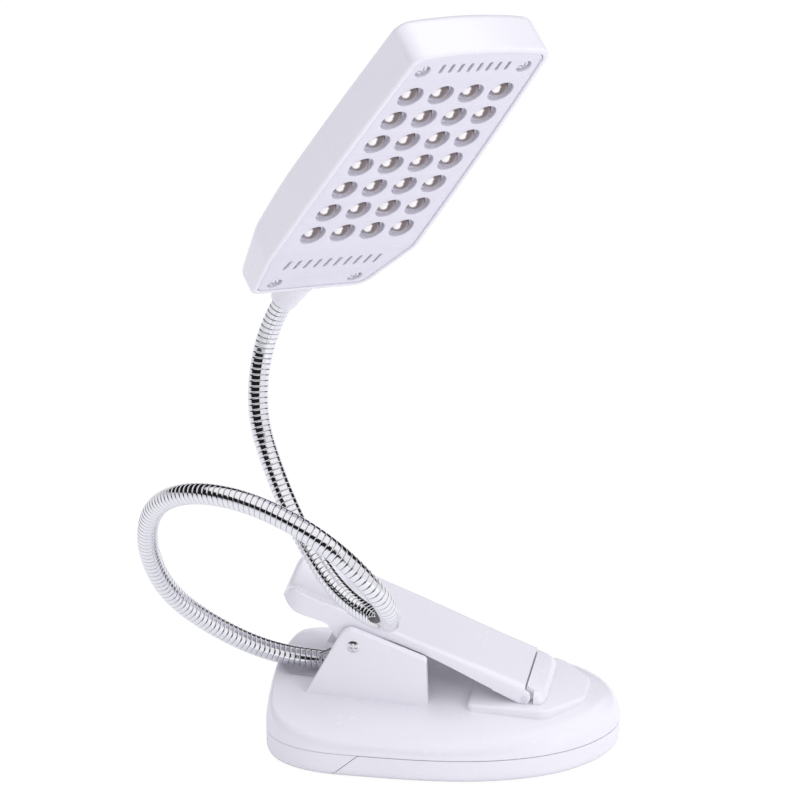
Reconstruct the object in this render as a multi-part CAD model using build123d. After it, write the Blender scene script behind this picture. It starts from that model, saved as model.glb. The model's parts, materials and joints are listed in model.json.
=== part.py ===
"""Clip-on reading lamp: a battery base with a spring clip, a gooseneck arm and a flat LED head.

Millimetres, +Z up, +X along the base towards the jaw tip. The origin is the middle of the
base's underside.
"""

from build123d import *
import os

# ---- base ----
BASE_HALF_LENGTH = 50.0
BASE_HALF_WIDTH = 33.0
WALL = 1.6
PARTING_Z = 8.0
CREST_Z = 17.6
CREST_FALL_DEGREES = 1.6
CROWN_RADIUS = 91.0
SHOULDER_RADIUS = 4.0
BOTTOM_RADIUS = 3.5
SEAM_TOP_X = -19.7
SEAM_BOTTOM_X = -28.4
SEAM_GAP = 0.3

# ---- ears, pivot and lever ----
EAR_IN = 13.3
EAR_OUT = 16.0
PIVOT = (-24.0, 33.3)
PIN_RADIUS = 1.5
PIN_CLEARANCE = 0.05
LEVER_HALF_WIDTH = 12.8
LEVER_SKIN = 1.8
FOOT_PIN = (24.3, 19.6)
FOOT_PIN_RADIUS = 0.8
PAD_TOP_Z = 18.0
PAD_GAP = 0.05

# ---- arm: the route of its middle line, from the base to the head ----
HOSE_RADIUS = 2.9
HOSE_BORE = 1.8
LEAD_RADIUS = 0.9
LEAD_SHORT = 0.7
BALL_CLEARANCE = 0.15
ROUTE = [
    (-24, 0, 19),
    (-31, 0, 19),
    (-50, -4, 22),
    (-66, -12, 34),
    (-77, -21, 49),
    (-80, -30, 68),
    (-75, -40, 86),
    (-61, -51, 97),
    (-42, -59, 99),
    (-22, -65, 92),
    (-9, -62, 75),
    (-10, -47, 58),
    (-24, -30, 56),
    (-37, -17, 65),
    (-48, -5, 79),
    (-56, 4, 96),
    (-54, 14, 118),
    (-44.8, 9.2, 133),
]
# Each bend of the arm is halfway along the run that starts at this point of the route.
BENDS = [2, 5, 8, 12, 15]

# ---- head ----
HEAD_CENTRE = (-9.7, -12.3, 179.9)
HEAD_ACROSS = (0.677, 0.714, -0.180)
HEAD_INWARD = (-0.538, 0.6466, 0.5408)
LED_PITCH_X = 10.0
LED_PITCH_Y = 9.8
LED_COLUMNS = 4
LED_ROWS = 7
HOLE_RADIUS = 3.75
LED_RADIUS = 2.5
PANEL_THICK = 1.6
RIM_WALL = 1.6
RIM_PROUD = 0.5
BACK_RADIUS = 3.0
PANEL_GAP = 0.12
HEAD_DEPTH = 13.0
CHIN_Y = 37.0
CHIN_DROP = 2.7
HEAD_END_Y = 58.0
COLLAR_END_Y = 70.0
HOSE_DEPTH = 7.4

# ---- batteries: three AAA cells ----
CELL_RADIUS = 5.25
CELL_LENGTH = 44.5
CELL_PITCH = 11.3
CELL_Z = WALL + 0.2 + CELL_RADIUS
CELL_X = -13.0

# ---- the battery door's two tongues, which pass beside the tray as the door slides ----
TONGUE_Y = 20.7
TONGUE_WIDTH = 5.0

parts = {}


def along_y(points, y0, y1):
    """A prism whose outline is given in X and Z, from y0 to y1."""
    face = make_face(Polyline(*[(x, 0, z) for x, z in points], close=True))
    return Pos(0, y0, 0) * extrude(face, amount=y1 - y0, dir=(0, 1, 0))


def bar_y(x, z, radius, y0, y1):
    """A round bar along Y."""
    return Pos(x, (y0 + y1) / 2, z) * Rot(90, 0, 0) * Cylinder(radius, y1 - y0)


def bar_x(x0, x1, y, z, radius):
    """A round bar along X."""
    return Pos((x0 + x1) / 2, y, z) * Rot(0, 90, 0) * Cylinder(radius, x1 - x0)


def bar_z(x, y, z0, z1, radius):
    """A round bar along Z."""
    return Pos(x, y, (z0 + z1) / 2) * Cylinder(radius, z1 - z0)


def block(x0, x1, y0, y1, z0, z1):
    """A box between its lowest and highest corners."""
    return Pos((x0 + x1) / 2, (y0 + y1) / 2, (z0 + z1) / 2) * Box(x1 - x0, y1 - y0, z1 - z0)


# ------------------------------------------------------------------ base shells


def base_plan(inset=0.0):
    """The base seen from above: a gently bowed rear end, rounded corners and a round tip."""
    kx = 1 - inset / BASE_HALF_LENGTH
    ky = 1 - inset / BASE_HALF_WIDTH
    left = [(-49.2, 15), (-46.2, 26), (-37.5, 31.6), (-21, 33), (6, 31.2), (30, 24.2), (45.3, 12)]
    right = [(x, -y) for x, y in reversed(left)]
    ring = [(-BASE_HALF_LENGTH, 0)] + left + [(BASE_HALF_LENGTH, 0)] + right
    return make_face(Spline(*[(x * kx, y * ky) for x, y in ring], periodic=True))


def crown(drop=0.0):
    """The space under the base's cambered top, which falls towards the tip."""
    tilt = Rot(0, 90 + CREST_FALL_DEGREES, 0)
    return Pos(0, 0, CREST_Z - CROWN_RADIUS) * tilt * Cylinder(CROWN_RADIUS - drop, 200)


def top_body():
    """The upper half of the base as one solid."""
    body = extrude(base_plan(), amount=16)
    body = (Pos(0, 0, PARTING_Z) * body) & crown()
    rim = body.edges().filter_by(GeomType.LINE, reverse=True).group_by(Axis.Z)[-1]
    return fillet(rim, SHOULDER_RADIUS)


def hose_path(first, last):
    """The arm's middle line between two bends, straight runs joined by tangent arcs."""
    corners = ROUTE[first:last]
    points = [bend_point(first - 1) if first > 1 else ROUTE[0]] + corners
    points.append(bend_point(last - 1) if last < len(ROUTE) - 1 else ROUTE[-1])
    radii = [arc_radius(k) for k in range(first, last)]
    return points, FilletPolyline(*points, radius=radii)


def bend_point(k):
    """Halfway along the run from route point k to the next."""
    a, b = ROUTE[k], ROUTE[k + 1]
    return tuple((p + q) / 2 for p, q in zip(a, b))


def arc_radius(k):
    """The largest arc that its two runs allow."""
    before = Vector(*ROUTE[k]) - Vector(*ROUTE[k - 1])
    after = Vector(*ROUTE[k + 1]) - Vector(*ROUTE[k])
    half_turn = before.get_angle(after) / 2
    reach = 0.45 * min(before.length, after.length)
    return reach / tan_degrees(half_turn)


def tan_degrees(angle):
    """Tangent from the sides of a right triangle drawn as a vector."""
    arm = Vector(1, 0, 0).rotate(Axis.Z, angle)
    return arm.Y / arm.X


def tube(path, radius):
    """A round bar swept along a path."""
    start = Plane(origin=path @ 0, z_dir=path % 0)
    return sweep(start * Circle(radius), path=path)


HOSE_RUNS = list(zip([1] + [k + 1 for k in BENDS], [k + 1 for k in BENDS] + [len(ROUTE) - 1]))
HOSE_NAMES = ["root", "1", "2", "3", "4", "tip"]


def build_hose():
    """The flexible arm in six lengths with ball-ended joints, and the lead inside each length."""
    for k, (name, (first, last)) in enumerate(zip(HOSE_NAMES, HOSE_RUNS)):
        points, path = hose_path(first, last)
        hose = tube(path, HOSE_RADIUS)
        if k < len(BENDS):
            hose += Pos(*points[-1]) * Sphere(HOSE_RADIUS)
        if k > 0:
            hose -= Pos(*points[0]) * Sphere(HOSE_RADIUS + BALL_CLEARANCE)
        bore_end = Vector(*points[-1]) + (path % 1) * 4
        bore_start = Vector(*points[0]) - (path % 0) * 4
        hose -= tube(path, HOSE_BORE)
        hose -= tube(Line(points[-1], bore_end), HOSE_BORE)
        hose -= tube(Line(bore_start, points[0]), HOSE_BORE)
        parts["arm_hose_" + name] = hose
        inner = list(points)
        inner[0] = Vector(*points[0]) + (path % 0) * LEAD_SHORT
        inner[-1] = Vector(*points[-1]) - (path % 1) * LEAD_SHORT
        lead = FilletPolyline(*inner, radius=[arc_radius(c) for c in range(first, last)])
        parts["arm_lead_" + name] = tube(lead, LEAD_RADIUS)


BLOCK = (-32.0, -17.3)
POCKET = (-26.2, -18.6)
BUTTON = (-27.0, 23.5)
BUTTON_RADIUS = 4.0
SCREWS = [(-41.0, -18.5), (-41.0, 18.5)]
POSTS = [(-34.5, 27.5), (-21.5, 28.0)]


def build_upper_shell():
    """The upper shell with both ears, the hose block, its screw bosses and board posts."""
    shell = top_body()
    cavity = extrude(base_plan(WALL), amount=16)
    cavity = (Pos(0, 0, PARTING_Z - 0.1) * cavity) & crown(WALL)
    shell -= cavity
    ear = [(-38, 16.3), (-38, 17), (-27, 37.6), (-24.6, 39), (-22.2, 38.9), (-5.3, 31.7)]
    ear += [(-4.5, 30.8), (-3, 17.2), (-3, 16.3)]
    for y in (EAR_IN, -EAR_OUT):
        shell += along_y(ear, y, y + EAR_OUT - EAR_IN)
    shell += block(*BLOCK, -6.2, 6.2, 16.2, 25.0)
    shell += block(-47.0, BLOCK[1], -7.0, 7.0, 13.4, 17.2)
    for x, y in SCREWS:
        shell += bar_z(x, y, PARTING_Z, 14.8, 3.0)
        shell -= bar_z(x, y, PARTING_Z - 1, 13.5, 1.05)
    for x, y in POSTS:
        shell += bar_z(x, y, 6.3, 13.0, 1.8)
    path = hose_path(*HOSE_RUNS[0])[1]
    shell -= tube(path, HOSE_RADIUS + 0.25)
    shell -= bar_x(*POCKET, 0, ROUTE[0][2], 4.2)
    shell -= block(POCKET[0], POCKET[1], -4.2, 4.2, ROUTE[0][2], 26)
    shell -= bar_z(-20.0, 0, 12, ROUTE[0][2], 1.4)
    shell -= bar_z(*BUTTON, 8, 20, BUTTON_RADIUS + 0.1)
    shell -= bar_y(*PIVOT, PIN_RADIUS + PIN_CLEARANCE, -20, 20)
    parts["base_upper_shell"] = shell


def bottom_body(inset=0.0):
    """The lower half of the base as one solid."""
    body = extrude(base_plan(inset), amount=PARTING_Z + inset)
    low = [e for e in body.edges() if e.center().Z < 0.5]
    return fillet(low, BOTTOM_RADIUS - inset / 2)


def seam_prism(shift):
    """Everything behind the slanting seam between the rear cover and the battery door."""
    rise = (SEAM_TOP_X - SEAM_BOTTOM_X) / PARTING_Z
    low = SEAM_BOTTOM_X + shift - 3 * rise
    high = SEAM_TOP_X + shift + 4 * rise
    return along_y([(-80, -3), (low, -3), (high, PARTING_Z + 4), (-80, PARTING_Z + 4)], -50, 50)


def build_lower_shells():
    """The rear cover, held by screws, and the battery door, which slides off forwards."""
    shell = bottom_body() - Pos(0, 0, WALL) * bottom_body(WALL)
    rear = shell & seam_prism(-SEAM_GAP / 2)
    for x, y in SCREWS:
        rear += bar_z(x, y, 0.9, PARTING_Z - 0.1, 3.0)
        rear -= bar_z(x, y, -1, PARTING_Z + 1, 1.3)
        rear -= bar_z(x, y, -1, 2.6, 2.4)
    parts["base_rear_cover"] = rear
    door = shell - seam_prism(SEAM_GAP / 2)
    door -= block(-80, 80, -50, 50, PARTING_Z - 0.1, PARTING_Z + 5)
    for y in (-TONGUE_Y, TONGUE_Y):
        near, far = y - TONGUE_WIDTH / 2, y + TONGUE_WIDTH / 2
        door += block(SEAM_BOTTOM_X - 3, SEAM_BOTTOM_X + 9, near, far, WALL + 0.15, WALL + 1.3)
        door += block(SEAM_BOTTOM_X + 4, SEAM_BOTTOM_X + 9, near, far, WALL - 0.6, WALL + 1.3)
    for k in range(3):
        x = 31.0 + 2.4 * k
        door -= block(x, x + 1.1, -8.0, 8.0, -1, 0.5)
    parts["battery_door"] = door


# ------------------------------------------------------------------ inside the base


def build_power():
    """Three cells in a tray, their contacts, the switch board and the push button."""
    x0, x1 = CELL_X - 3.6, CELL_X + CELL_LENGTH + 3.2
    half = 1.5 * CELL_PITCH + 0.5
    top = CELL_Z + CELL_RADIUS + 0.8
    tray = block(x0, x1, -half, half, WALL + 0.1, top)
    for k in (-1, 0, 1):
        y = k * CELL_PITCH
        tray -= block(x0 + 0.8, x1 - 0.8, y - 5.4, y + 5.4, 0, top - 0.6)
    for x in (CELL_X + 12, CELL_X + 32):
        tray -= block(x, x + 5, -half + 1, half - 1, top - 1, top + 1)
    parts["battery_tray"] = tray
    cells, springs, plates = [], [], []
    for k in (-1, 0, 1):
        y = k * CELL_PITCH
        turn = 1 if k else -1
        middle = CELL_X + CELL_LENGTH / 2
        cell = bar_x(CELL_X, CELL_X + CELL_LENGTH - 0.8, y, CELL_Z, CELL_RADIUS)
        cell = fillet(cell.edges(), 0.4)
        cell += bar_x(CELL_X + CELL_LENGTH - 1, CELL_X + CELL_LENGTH, y, CELL_Z, 1.9)
        cells.append(cell if turn > 0 else Pos(2 * middle, 2 * y, 0) * Rot(0, 0, 180) * cell)
        spring_x = x0 + 1.3 if turn > 0 else x1 - 1.3
        plate_x = x1 - 1.3 if turn > 0 else x0 + 1.3
        wire = Helix(pitch=0.75, height=1.5, radius=3.0)
        coil = sweep(Plane(wire @ 0, z_dir=wire % 0) * Circle(0.25), path=wire)
        springs.append(Pos(spring_x, y, CELL_Z) * Rot(0, 90 * turn, 0) * coil)
        plates.append(block(plate_x - 0.2, plate_x + 0.2, y - 4, y + 4, CELL_Z - 4, CELL_Z + 4))
    parts["batteries"] = Compound(children=cells)
    parts["contact_springs"] = Compound(children=springs)
    parts["contact_plates"] = Compound(children=plates)
    parts["switch_board"] = block(-37.4, -19, 13, 30, 5.0, 6.2)
    body = block(BUTTON[0] - 3, BUTTON[0] + 3, BUTTON[1] - 3, BUTTON[1] + 3, 6.3, 9.3)
    parts["switch_body"] = body
    button = bar_z(*BUTTON, 10.9, 16.4, BUTTON_RADIUS)
    button = fillet(button.edges().group_by(Axis.Z)[-1], 0.8)
    parts["switch_button"] = button + bar_z(*BUTTON, 10.9, 11.7, BUTTON_RADIUS + 0.8)
    screws = []
    for x, y in SCREWS:
        screws.append(bar_z(x, y, 0.9, 2.5, 2.2) + bar_z(x, y, 2.4, 12.5, 1.0))
    parts["case_screws"] = Compound(children=screws)
    ferrule = bar_x(-25.6, -21.6, 0, ROUTE[0][2], 3.9)
    parts["hose_ferrule"] = ferrule - bar_x(-26, -21, 0, ROUTE[0][2], HOSE_RADIUS + 0.03)
    drop = FilletPolyline((-23.8, 0, 19), (-20, 0, 19), (-20, 0, 10), (-20, 14, 10), radius=1.6)
    parts["base_lead"] = tube(drop, 0.8)


# ------------------------------------------------------------------ clip


def lever_z(x):
    """Height of the lever's flat top over the base."""
    return 36.3 - 0.383 * (x + 10)


def build_clip():
    """The lever, its pivot pin and spring, the rocking jaw foot and the pad that it meets."""
    top = [(23.7, lever_z(23.7)), (-25, lever_z(-25)), (-33, 44.6), (-38, 46.2), (-42, 48.4)]
    lip = [(-43.7, 47.9), (-44.2, 46.2), (-43.6, 43.6), (-42, 42.7)]
    under = [(-38.5, 41.7), (-32.5, 39.6), (-28, 37.9), (-25, 37.4), (22.6, 19.2), (23.7, 19.4)]
    lever = along_y(top + lip + under, -LEVER_HALF_WIDTH, LEVER_HALF_WIDTH)
    inner_top = [(23.0, lever_z(23.0) - 2), (-25, lever_z(-25) - 2), (-33, 42.6), (-38, 43.9)]
    inner = inner_top + [(-38, 38), (-33, 30), (-25, 30), (22, 14), (26, 14), (26, 20)]
    side = LEVER_HALF_WIDTH - LEVER_SKIN
    lever -= along_y(inner, -side, side)
    lever += along_y([(-25, 39), (-25, 37.4), (-29.5, 34.4), (-19, 32.2), (-17, 36)], side, side + 1.8)
    lever += along_y([(-25, 39), (-25, 37.4), (-29.5, 34.4), (-19, 32.2), (-17, 36)], -side - 1.8, -side)
    arm = [(20, 20.4), (20, 23), (23.7, lever_z(23.7)), (25.6, 22.0), (26.2, 19.6), (25.2, 18.4), (23, 18.4)]
    for y in (-LEVER_HALF_WIDTH, side):
        lever += bar_y(*PIVOT, 4.0, y, y + LEVER_SKIN)
        lever += along_y(arm, y, y + LEVER_SKIN)
    lever -= bar_y(*PIVOT, PIN_RADIUS + 0.06, -20, 20)
    lever -= bar_y(*FOOT_PIN, FOOT_PIN_RADIUS + 0.03, -20, 20)
    parts["clip_lever"] = lever

    pin = bar_y(*PIVOT, PIN_RADIUS, -16.2, 16.2) + bar_y(*PIVOT, 1.9, -16.9, -16.05)
    pin += bar_y(*PIVOT, 1.9, 16.05, 16.6)
    for w, h in ((2.2, 0.5), (0.5, 2.2)):
        pin -= block(PIVOT[0] - w / 2, PIVOT[0] + w / 2, -17, -16.4, PIVOT[1] - h / 2, PIVOT[1] + h / 2)
    parts["pivot_pin"] = pin

    helix = Helix(pitch=1.5, height=9.0, radius=2.9)
    coil = sweep(Plane(helix @ 0, z_dir=helix % 0) * Circle(0.55), path=helix)
    coil = Pos(PIVOT[0], 4.5, PIVOT[1]) * Rot(90, 0, 0) * coil
    legs = bar_x(-13.2, 0, 0, 0, 0.55)
    low = Pos(PIVOT[0], -5.1, PIVOT[1] - 2.9) * Rot(0, -29, 0) * legs
    high = Pos(PIVOT[0], 5.1, PIVOT[1] + 2.9) * Rot(0, 22, 0) * legs
    parts["torsion_spring"] = Compound(children=[coil, low, high])

    foot = [(24.9, 22.9), (27.6, 21.9), (29.6, 20.6), (30.5, 19.3), (30.3, 18.1), (20, 18.1)]
    foot += [(19.6, 18.6), (19.8, 19.7), (22.6, 20.9), (24.6, 21.2)]
    tongue = 10.6
    jaw = along_y([(x, max(z, PAD_TOP_Z + PAD_GAP)) for x, z in foot], -tongue, tongue)
    nose = [(27.0, 22.1), (27.6, 21.9), (29.6, 20.6), (30.5, 19.3), (30.3, 18.1), (27.0, 18.1)]
    jaw += along_y(nose, -12.6, 12.6)
    jaw -= bar_y(*FOOT_PIN, FOOT_PIN_RADIUS + PIN_CLEARANCE, -20, 20)
    parts["jaw_foot"] = jaw
    parts["jaw_pin"] = bar_y(*FOOT_PIN, FOOT_PIN_RADIUS, -13.0, 13.0)

    front = ThreePointArc((28.5, -15.6), (41.0, 0), (28.5, 15.6))
    edge = Polyline((28.5, 15.6), (9.5, 16.0), (8.3, 14.8), (8.3, -14.8), (9.5, -16.0), (28.5, -15.6))
    pad = extrude(make_face([front, edge]), amount=6)
    parts["lower_jaw_pad"] = (Pos(0, 0, PAD_TOP_Z - 6) * pad) - crown() - Pos(0, 0, -0.02) * crown()


# ------------------------------------------------------------------ head


def head_plane():
    """The panel's face: X across, Y towards the neck, Z into the head."""
    return Plane(origin=HEAD_CENTRE, x_dir=HEAD_ACROSS, z_dir=HEAD_INWARD)


def head_outline(grow=0.0):
    """The panel's outline, crowned at the top and tapering to the chin, with rounded corners."""
    half_top, half_chin = 21.0 + grow, 18.0 + grow
    top = ThreePointArc((-half_top, -44.6 - grow), (0, -46.5 - grow), (half_top, -44.6 - grow))
    right = ThreePointArc((half_top, -44.6 - grow), (23.1 + grow, 4), (23.6 + grow, 39))
    left = ThreePointArc((-half_top, -44.6 - grow), (-23.1 - grow, 4), (-23.6 - grow, 39))
    low = Polyline(
        (23.6 + grow, 39), (half_chin, 57.3 + grow), (-half_chin, 57.3 + grow), (-23.6 - grow, 39)
    )
    face = make_face([top, right, low, left])
    return fillet(face.vertices(), 3.0 + grow)


def panel_slab(z0, z1):
    """A slab that follows the panel's face: flat, then bent back at the chin."""
    bend = [(-60, z0), (CHIN_Y, z0), (62, z0 + CHIN_DROP * 25 / 21)]
    bend += [(62, z1 + CHIN_DROP * 25 / 21), (CHIN_Y, z1), (-60, z1)]
    face = make_face(Polyline(*[(0, y, z) for y, z in bend], close=True))
    return Pos(-30, 0, 0) * extrude(face, amount=60, dir=(1, 0, 0))


def led_places():
    """The middle of each LED, column by column."""
    for c in range(LED_COLUMNS):
        for r in range(LED_ROWS):
            yield (c - (LED_COLUMNS - 1) / 2) * LED_PITCH_X, (r - (LED_ROWS - 1) / 2) * LED_PITCH_Y


PANEL_SCREWS = [(-16.8, -39.7, 0), (16.8, -39.7, 0), (-13.7, 54.0, 2.2), (13.7, 54.0, 2.2)]


def build_head():
    """The head's back shell, front panel, LEDs, board, screws, collar and wires."""
    place = head_plane()
    outer = Pos(0, 0, -RIM_PROUD) * extrude(
        head_outline(RIM_WALL + PANEL_GAP), amount=HEAD_DEPTH + RIM_PROUD
    )
    outer = fillet(outer.faces().sort_by(Axis.Z)[-1].edges(), BACK_RADIUS)
    outer = outer & panel_slab(-RIM_PROUD, 40)
    room = Pos(0, 0, -2) * extrude(head_outline(PANEL_GAP), amount=HEAD_DEPTH - 1.8 + 2)
    shell = outer - room
    for x, y, z in PANEL_SCREWS:
        shell += bar_z(x, y, z + 3.4, HEAD_DEPTH - 1, 2.2)
        shell -= bar_z(x, y, z + 1, HEAD_DEPTH - 3.5, 0.95)
    axis = Pos(0, HEAD_END_Y - 2, HOSE_DEPTH) * Rot(-90, 0, 0)
    shell -= axis * Cylinder(3.4, 12)
    parts["head_back_shell"] = place * shell

    panel = extrude(head_outline(), amount=8) & panel_slab(0, PANEL_THICK)
    holes = [Pos(x, y, 0) * Cylinder(HOLE_RADIUS, 8) for x, y in led_places()]
    vents = [(-10.85 + 3.1 * k, -40.5, 3.6) for k in range(8)]
    vents += [(-15.3 + 3.4 * k, 44.0, 4.8) for k in range(10)]
    holes += [Pos(x, y, 0) * Box(1.0, length, 12) for x, y, length in vents]
    holes += [bar_z(x, y, -1, z + 0.9, 2.2) for x, y, z in PANEL_SCREWS]
    holes += [bar_z(x, y, -1, 8, 1.1) for x, y, z in PANEL_SCREWS]
    parts["head_front_panel"] = place * (panel - holes)

    screws = []
    for x, y, z in PANEL_SCREWS:
        screw = bar_z(x, y, z - 0.1, z + 0.9, 1.9) + bar_z(x, y, z + 0.8, HEAD_DEPTH - 4, 0.9)
        for w, h in ((2.0, 0.5), (0.5, 2.0)):
            screw -= Pos(x, y, z) * Box(w, h, 1.0)
        screws.append(place * screw)
    parts["panel_screws"] = Compound(children=screws)

    leds = []
    for x, y in led_places():
        led = bar_z(x, y, 3.2, 9.0, LED_RADIUS) + Pos(x, y, 3.2) * Sphere(LED_RADIUS)
        leds.append(place * (led + bar_z(x, y, 8.0, 9.0, LED_RADIUS + 0.4)))
    parts["leds"] = Compound(children=leds)
    parts["led_board"] = place * block(-19.5, 19.5, -35.5, 36.5, 9.05, 10.25)
    chips = [Pos(x, 34.5, 8.65) * Box(3.2, 1.6, 0.7) for x in (-14.0, -7.0, 0.0, 7.0)]
    parts["board_resistors"] = Compound(children=[place * c for c in chips])

    collar = Pos(0, HEAD_END_Y + 1.9, HOSE_DEPTH) * Rot(-90, 0, 0)
    cone = Solid.make_cone(4.9, 3.9, COLLAR_END_Y - HEAD_END_Y - 1.9)
    bore = bar_z(0, 0, -20, 40, HOSE_RADIUS + 0.03)
    spigot = bar_z(0, 0, -2.4, 0.1, 3.35)
    parts["head_collar"] = place * collar * (cone + spigot - bore)
    wires = FilletPolyline((0, 60.5, 7.4), (0, 50, 7.4), (0, 44, 9.6), (0, 37, 9.6), radius=3.0)
    parts["head_lead"] = place * tube(wires, 0.8)


build_hose()
build_upper_shell()
build_lower_shells()
build_power()
build_clip()
build_head()

os.makedirs("parts", exist_ok=True)
for name, shape in parts.items():
    export_step(shape, f"parts/{name}.step")
    print(name, len(shape.solids()), round(shape.volume), shape.is_valid)
print("arm arcs", [round(arc_radius(k), 1) for k in range(1, len(ROUTE) - 1)])
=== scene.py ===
"""Clip-on reading lamp: the looks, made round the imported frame.

The shape functions work in millimetres and piece() turns them into metres. +X runs along the
base to the jaw tip, +Z is up, and the head has its own frame: x across the panel, y towards the
neck, z into the head.
"""

import json

import bmesh
import bpy
import numpy as np
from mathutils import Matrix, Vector


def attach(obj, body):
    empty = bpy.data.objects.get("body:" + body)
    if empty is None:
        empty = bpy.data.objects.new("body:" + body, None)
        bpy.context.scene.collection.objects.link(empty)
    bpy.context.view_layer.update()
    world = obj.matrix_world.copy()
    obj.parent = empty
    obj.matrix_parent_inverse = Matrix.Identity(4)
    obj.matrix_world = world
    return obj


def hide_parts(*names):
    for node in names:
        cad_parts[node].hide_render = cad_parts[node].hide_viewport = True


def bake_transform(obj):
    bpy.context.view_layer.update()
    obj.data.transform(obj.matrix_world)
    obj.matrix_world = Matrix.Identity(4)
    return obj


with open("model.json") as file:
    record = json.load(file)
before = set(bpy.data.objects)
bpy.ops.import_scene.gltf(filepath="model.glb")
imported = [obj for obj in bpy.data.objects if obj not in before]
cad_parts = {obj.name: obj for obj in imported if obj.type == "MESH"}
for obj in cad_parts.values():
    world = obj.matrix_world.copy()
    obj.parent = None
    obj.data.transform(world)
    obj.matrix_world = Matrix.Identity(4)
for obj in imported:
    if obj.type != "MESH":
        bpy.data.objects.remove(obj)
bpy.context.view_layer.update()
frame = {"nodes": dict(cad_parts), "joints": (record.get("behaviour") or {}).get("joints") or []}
nodes = frame["nodes"]

MM = 0.001

# ---- base ----
BASE_HALF_LENGTH = 50.0
BASE_HALF_WIDTH = 33.0
PARTING_Z = 8.0
CREST_Z = 17.6
CREST_FALL = 0.028
CROWN_RADIUS = 91.0
SHOULDER_REACH = 4.8
REAR_REACH = 2.0
SEAM_RISE = 0.15
BASE_SIDE = [(-49.2, 15), (-46.2, 26), (-37.5, 31.6), (-21, 33), (6, 31.2), (30, 24.2), (45.3, 12)]

# ---- clip ----
EAR_IN = 13.3
EAR_OUT = 16.0
EAR_LOW = 13.0
PIVOT = (-24.0, 33.3)
PIVOT_PIN_RADIUS = 1.5
PIVOT_HEAD_RADIUS = 1.9
LEVER_HALF_WIDTH = 12.8
LEVER_SKIN = 1.8
LEVER_SLOPE = 0.383
LEVER_NOSE_X = 24.4
PADDLE_START_X = -24.0
PADDLE_END_X = -45.2
LUG_RADIUS = 4.4
PAD_LOW_Z = 12.5
PAD_TOP_Z = 18.0
FOOT_LOW_Z = PAD_TOP_Z + 0.05

# ---- arm: the same route as the CAD tube ----
HOSE_RADIUS = 2.9
HOSE_PITCH = 1.65
GROOVE_DEPTH = 0.34
GROOVE_POWER = 13
HOSE_AROUND = 36
HOSE_ALONG = 14
HOSE_START = 3.0
STATION_SPACING = 0.25
ROUTE = [
    (-24, 0, 19), (-31, 0, 19), (-50, -4, 22), (-66, -12, 34), (-77, -21, 49), (-80, -30, 68),
    (-75, -40, 86), (-61, -51, 97), (-42, -59, 99), (-21, -65, 92), (-6, -63, 75), (-6.5, -47, 57.5),
    (-24, -30, 56), (-37, -17, 65), (-48, -5, 79), (-56, 4, 96), (-54, 14, 118), (-44.8, 9.2, 133),
]
ARM_BENDS = ["arm_root_bend", "arm_side_bend", "arm_top_bend", "arm_front_bend", "head_bend"]
ARM_NODES = ["root", "1", "2", "3", "4", "tip"]

# ---- head ----
HEAD_CENTRE = np.array([-9.7, -12.3, 179.9])
HEAD_ACROSS = np.array([0.677, 0.714, -0.180])
HEAD_INWARD = np.array([-0.538, 0.6466, 0.5408])
HEAD_FRAME = np.array([HEAD_ACROSS, np.cross(HEAD_INWARD, HEAD_ACROSS), HEAD_INWARD])
HEAD_FRAME /= np.linalg.norm(HEAD_FRAME, axis=1)[:, None]
HEAD_DEPTH = 13.0
TOP_Y = -46.5
TOP_CORNER = (21.0, -44.6)
SIDE_BOW = 2.6
SIDE_END_Y = 39.0
NECK_CORNER = (18.0, 57.3)
CORNER_RADIUS = 3.0
CHIN_RADIUS = 13.0
BACK_RADIUS = 3.0
NECK_ROUND = 3.6
RIM_PROUD = 0.5
RIM_WALL = 1.6
BACK_WALL = 1.8
BACK_CROWN = 0.25
PANEL_GAP = 0.12
PANEL_THICK = 1.6
CHIN_Y = 37.0
CHIN_DROP = 2.7 / 21
HOLE_RADIUS = 3.75
LED_RADIUS = 3.3
LED_Z = 2.75
# painted highlights in each lens: directions from its middle, and sizes, in its radii
PAINTED_GLINT_TOWARDS = [(-0.62, -0.26, -0.74), (-0.42, -0.54, -0.73)]
PAINTED_GLINT_SIZE = [0.34, 0.15]
LED_X = (np.arange(4) - 1.5) * 10.0
LED_Y = (np.arange(7) - 3.0) * 9.8
LED_PLACES = [(x, y) for x in LED_X for y in LED_Y]
VENT_HALF_WIDTH = 0.5
# pitch, count, y and length of each row of vents
VENT_ROWS = [(3.1, 8, -40.5, 3.6), (3.4, 10, 44.0, 4.8)]
SCREW_HOLE_RADIUS = 2.2
PANEL_HEAD_RADIUS = 2.05
PANEL_SCREWS = [(-16.8, -39.7), (16.8, -39.7), (-13.7, 54.0), (13.7, 54.0)]
COLLAR = (59.9, 70.0)
HOSE_DEPTH = 7.4


# ------------------------------------------------------------------ curves and outlines


def smooth_step(t):
    """0 before 0, 1 after 1, and 3t^2 - 2t^3 between."""
    t = np.clip(t, 0, 1)
    return t * t * (3 - 2 * t)


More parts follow.
